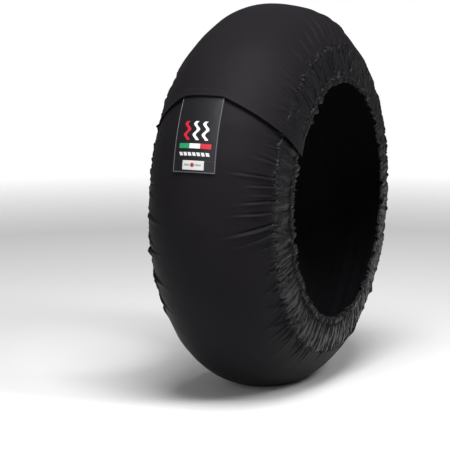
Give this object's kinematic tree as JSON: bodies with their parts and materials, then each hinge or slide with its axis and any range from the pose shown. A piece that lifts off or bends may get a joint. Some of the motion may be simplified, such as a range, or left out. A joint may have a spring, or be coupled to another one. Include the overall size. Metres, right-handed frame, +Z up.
{
  "type": "motorcycle tyre warmer",
  "caption": "Heated padded wrap for a motorcycle's rear tyre: a padded tread strip closed by a flap with hook-and-loop tape, a label with a lamp, and gathered side skirts with elastic hems.",
  "frame": {"origin": "on the floor, at the middle of the flat spot that the warmer stands on", "axes": "+Y along the wheel's axle, +Z up, -X towards the front, where the flap and its label are"},
  "size_m": [0.6696, 0.2624, 0.6653],
  "materials": {
    "cover_nylon": "black woven nylon with a faint sheen",
    "skirt_nylon": "thinner black woven nylon, gathered",
    "felt": "grey needled felt",
    "glass_cloth": "off-white heat-proof cloth",
    "lining_cloth": "dark grey heat-proof lining cloth",
    "silicone_cable": "red-brown silicone insulation",
    "elastic": "black braided elastic",
    "closure_tape": "black hook-and-loop tape",
    "label_cloth": "stiff black satin label cloth",
    "label_border_cloth": "raised grey edge of the label",
    "indicator_plate_plastic": "silver-white plastic",
    "red_lamp": "red translucent lamp cap",
    "plated_steel": "plated metal",
    "black_rubber": "matte black moulded rubber"
  },
  "bodies": {
    "root": {"outer_cover": "cover_nylon", "lead_grommet": "black_rubber", "felt_padding": "felt", "thermostat": "plated_steel", "cable_carrier_cloth": "glass_cloth", "heating_cable": "silicone_cable", "supply_splice_right": "plated_steel", "supply_splice_left": "plated_steel", "lamp_lead": "silicone_cable", "inner_lining": "lining_cloth", "side_skirt_right": "skirt_nylon", "hem_elastic_right": "elastic", "side_skirt_left": "skirt_nylon", "hem_elastic_left": "elastic", "hook_tape_right": "closure_tape", "loop_tape_right": "closure_tape", "hook_tape_centre": "closure_tape", "loop_tape_centre": "closure_tape", "hook_tape_left": "closure_tape", "loop_tape_left": "closure_tape", "label_patch": "label_cloth", "label_border": "label_border_cloth", "indicator_plate": "indicator_plate_plastic", "indicator_lamp": "red_lamp"}
  },
  "joints": []
}
